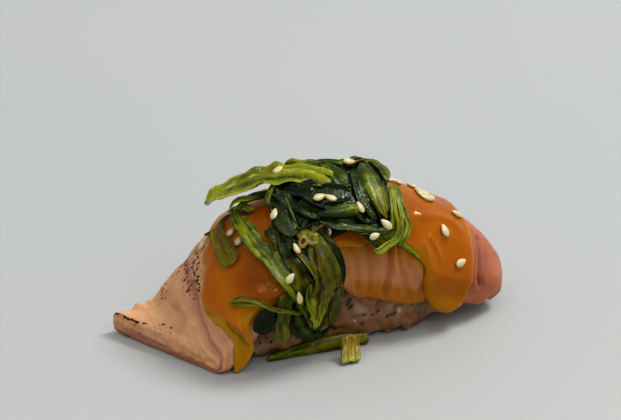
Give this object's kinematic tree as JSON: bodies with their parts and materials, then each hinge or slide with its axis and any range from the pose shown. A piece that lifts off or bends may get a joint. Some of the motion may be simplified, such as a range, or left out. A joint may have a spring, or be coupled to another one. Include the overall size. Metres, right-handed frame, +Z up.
{
  "type": "salmon nigiri",
  "caption": "Seared salmon slice bent over a pressed rice block, with an orange sauce coat and a heap of seaweed salad hanging down its front.",
  "frame": {"origin": "on the board, under the rice block's foot", "axes": "+X along the slice to its round end, -Y to the front that the seaweed hangs over, +Z up"},
  "size_m": [0.0728, 0.0316, 0.0337],
  "materials": {
    "rice": "moist cooked short-grain rice",
    "salmon": "raw salmon, seared pale at the surface with brown-black specks",
    "sauce": "wet glossy orange sauce",
    "seaweed": "wet translucent green seaweed",
    "yellow_strip": "wet yellow-green seaweed strip",
    "sesame": "hulled sesame seed, satin",
    "char": "dry charred crumbs"
  },
  "bodies": {
    "root": {"rice": "rice", "salmon": "salmon", "sauce": "sauce", "seaweed": "seaweed", "stem": "seaweed", "strip": "yellow_strip"}
  },
  "joints": []
}
